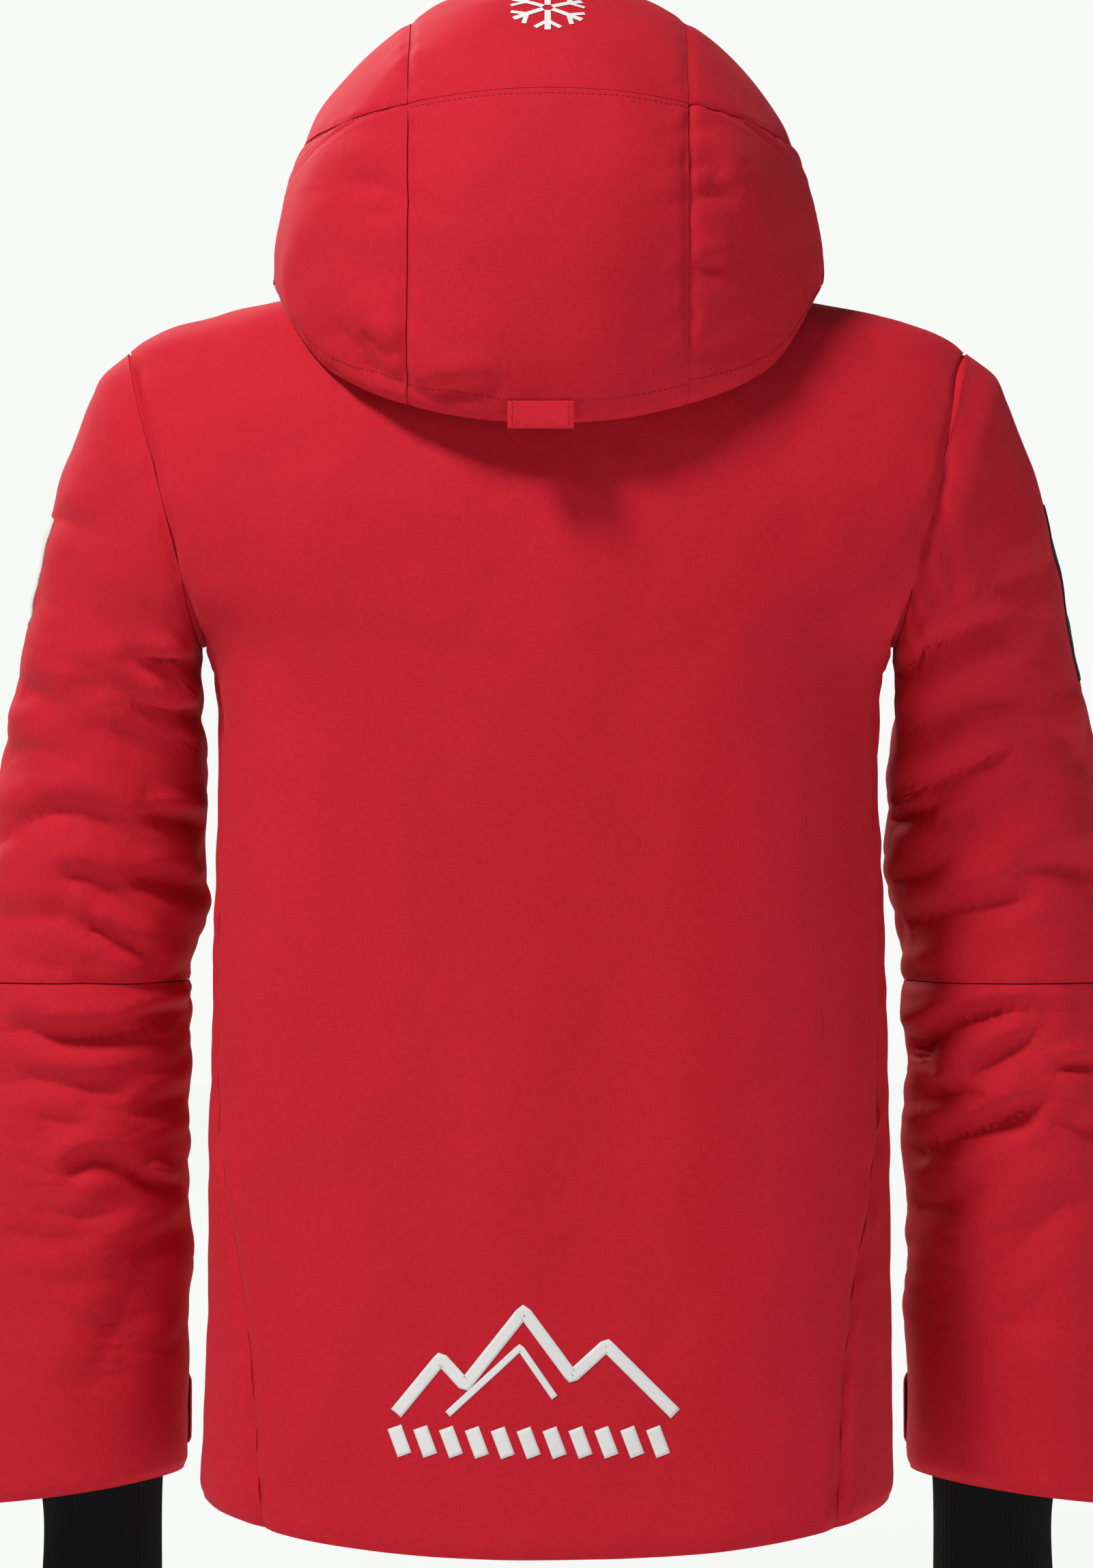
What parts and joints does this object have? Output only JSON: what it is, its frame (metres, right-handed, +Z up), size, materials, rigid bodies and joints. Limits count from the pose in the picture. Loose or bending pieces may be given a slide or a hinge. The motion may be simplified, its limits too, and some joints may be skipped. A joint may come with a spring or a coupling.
{
  "type": "ski jacket",
  "caption": "Insulated hooded ski jacket, worn shape with the hood up, moving sleeves, hood, cuff tabs and zip sliders.",
  "frame": {"origin": "middle of the neck opening, level with the back neck seam, where a hanger or the wearer's shoulders hold the jacket up", "axes": "+Z up, -Y towards the front of the jacket, +X towards the wearer's left"},
  "size_m": [0.75, 0.3176, 0.9929],
  "materials": {
    "red_fabric": "matt woven, fine melange",
    "wadding": "soft batting",
    "lining_fabric": "smooth taffeta",
    "stretch_black": "matt rib knit",
    "fleece": "brushed",
    "zip_tape": "woven tape",
    "zip_plastic": "satin",
    "zip_metal": "satin plated",
    "badge_white": "matt rubber print",
    "badge_dark": "matt rubber print"
  },
  "bodies": {
    "torso": {"back_panel": "red_fabric", "left_front_panel": "red_fabric", "left_side_panel": "red_fabric", "right_front_panel": "red_fabric", "right_side_panel": "red_fabric", "back_wadding": "wadding", "left_front_wadding": "wadding", "left_side_wadding": "wadding", "right_front_wadding": "wadding", "right_side_wadding": "wadding", "back_lining": "lining_fabric", "left_front_lining": "lining_fabric", "left_side_lining": "lining_fabric", "right_front_lining": "lining_fabric", "right_side_lining": "lining_fabric", "collar": "red_fabric", "collar_lining": "fleece", "hanger_loop": "zip_tape", "left_zip_teeth": "zip_plastic", "left_zip_tape": "zip_tape", "right_zip_teeth": "zip_plastic", "right_zip_tape": "zip_tape", "zip_bottom_box": "zip_plastic", "storm_flap": "red_fabric", "left_pocket_zip": "zip_tape", "right_pocket_zip": "zip_tape", "powder_skirt": "lining_fabric"},
    "hood": {"hood_centre_back_panel": "red_fabric", "hood_centre_crown_panel": "red_fabric", "hood_left_side_panel": "red_fabric", "hood_left_crown_panel": "red_fabric", "hood_right_side_panel": "red_fabric", "hood_right_crown_panel": "red_fabric", "hood_lining": "lining_fabric", "hood_brim": "red_fabric", "hood_neck_panel": "red_fabric", "hood_size_tab": "red_fabric"},
    "left_upper_arm": {"left_upper_sleeve": "red_fabric", "left_upper_sleeve_lining": "lining_fabric", "left_badge": "badge_white"},
    "left_forearm": {"left_lower_sleeve": "red_fabric", "left_lower_sleeve_lining": "lining_fabric", "left_gaiter": "stretch_black"},
    "left_tab": {"left_cuff_tab": "red_fabric"},
    "left_pocket_runner": {"left_pocket_slider": "zip_metal"},
    "left_pocket_tab": {"left_pocket_pull": "zip_plastic"},
    "right_upper_arm": {"right_upper_sleeve": "red_fabric", "right_upper_sleeve_lining": "lining_fabric", "right_badge": "badge_dark"},
    "right_forearm": {"right_lower_sleeve": "red_fabric", "right_lower_sleeve_lining": "lining_fabric", "right_gaiter": "stretch_black"},
    "right_tab": {"right_cuff_tab": "red_fabric"},
    "right_pocket_runner": {"right_pocket_slider": "zip_metal"},
    "right_pocket_tab": {"right_pocket_pull": "zip_plastic"},
    "main_runner": {"main_zip_slider": "zip_metal"},
    "main_tab": {"main_zip_pull": "zip_plastic"}
  },
  "joints": [
    {"name": "hood_tilt", "type": "hinge", "parent": "torso", "child": "hood", "pos_m": [0, 0.003, -0.009], "axis": [1, 0, 0], "range_deg": [0, 12]},
    {"name": "left_shoulder", "type": "hinge", "parent": "torso", "child": "left_upper_arm", "pos_m": [0.22725, 0.001, -0.143], "axis": [-0.9677, 0, 0.2521], "range_deg": [0, 50]},
    {"name": "left_elbow", "type": "hinge", "parent": "left_upper_arm", "child": "left_forearm", "pos_m": [0.2835, -0.128, -0.427], "axis": [-1, 0, 0], "range_deg": [0, 45]},
    {"name": "left_cuff_tab_swing", "type": "hinge", "parent": "left_forearm", "child": "left_tab", "pos_m": [0.2912, -0.15413, -0.69988], "axis": [-0.0327, 0.097, 0.9947], "range_deg": [0, 30]},
    {"name": "right_shoulder", "type": "hinge", "parent": "torso", "child": "right_upper_arm", "pos_m": [-0.22725, 0.001, -0.143], "axis": [-0.9677, 0, -0.2521], "range_deg": [0, 50]},
    {"name": "right_elbow", "type": "hinge", "parent": "right_upper_arm", "child": "right_forearm", "pos_m": [-0.2835, -0.128, -0.427], "axis": [-1, 0, 0], "range_deg": [0, 45]},
    {"name": "right_cuff_tab_swing", "type": "hinge", "parent": "right_forearm", "child": "right_tab", "pos_m": [-0.2912, -0.15413, -0.69988], "axis": [-0.0327, -0.097, -0.9947], "range_deg": [0, 30]},
    {"name": "main_zip_travel", "type": "slide", "parent": "torso", "child": "main_runner", "axis": [0, -0.0669, -0.9978], "range_m": [0, 0.686]},
    {"name": "main_zip_pull_swing", "type": "hinge", "parent": "main_runner", "child": "main_tab", "pos_m": [0, -0.10296, -0.01127], "axis": [-1, 0, 0], "range_deg": [0, 110]},
    {"name": "left_pocket_zip_travel", "type": "slide", "parent": "torso", "child": "left_pocket_runner", "axis": [0, -0.0706, -0.9975], "range_m": [0, 0.148]},
    {"name": "left_pocket_pull_swing", "type": "hinge", "parent": "left_pocket_runner", "child": "left_pocket_tab", "pos_m": [0.13038, -0.11492, -0.40381], "axis": [-0.9302, -0.3671, 0], "range_deg": [0, 110]},
    {"name": "right_pocket_zip_travel", "type": "slide", "parent": "torso", "child": "right_pocket_runner", "axis": [0, -0.0706, -0.9975], "range_m": [0, 0.148]},
    {"name": "right_pocket_pull_swing", "type": "hinge", "parent": "right_pocket_runner", "child": "right_pocket_tab", "pos_m": [-0.13038, -0.11492, -0.40381], "axis": [-0.9302, 0.3671, 0], "range_deg": [0, 110]}
  ]
}
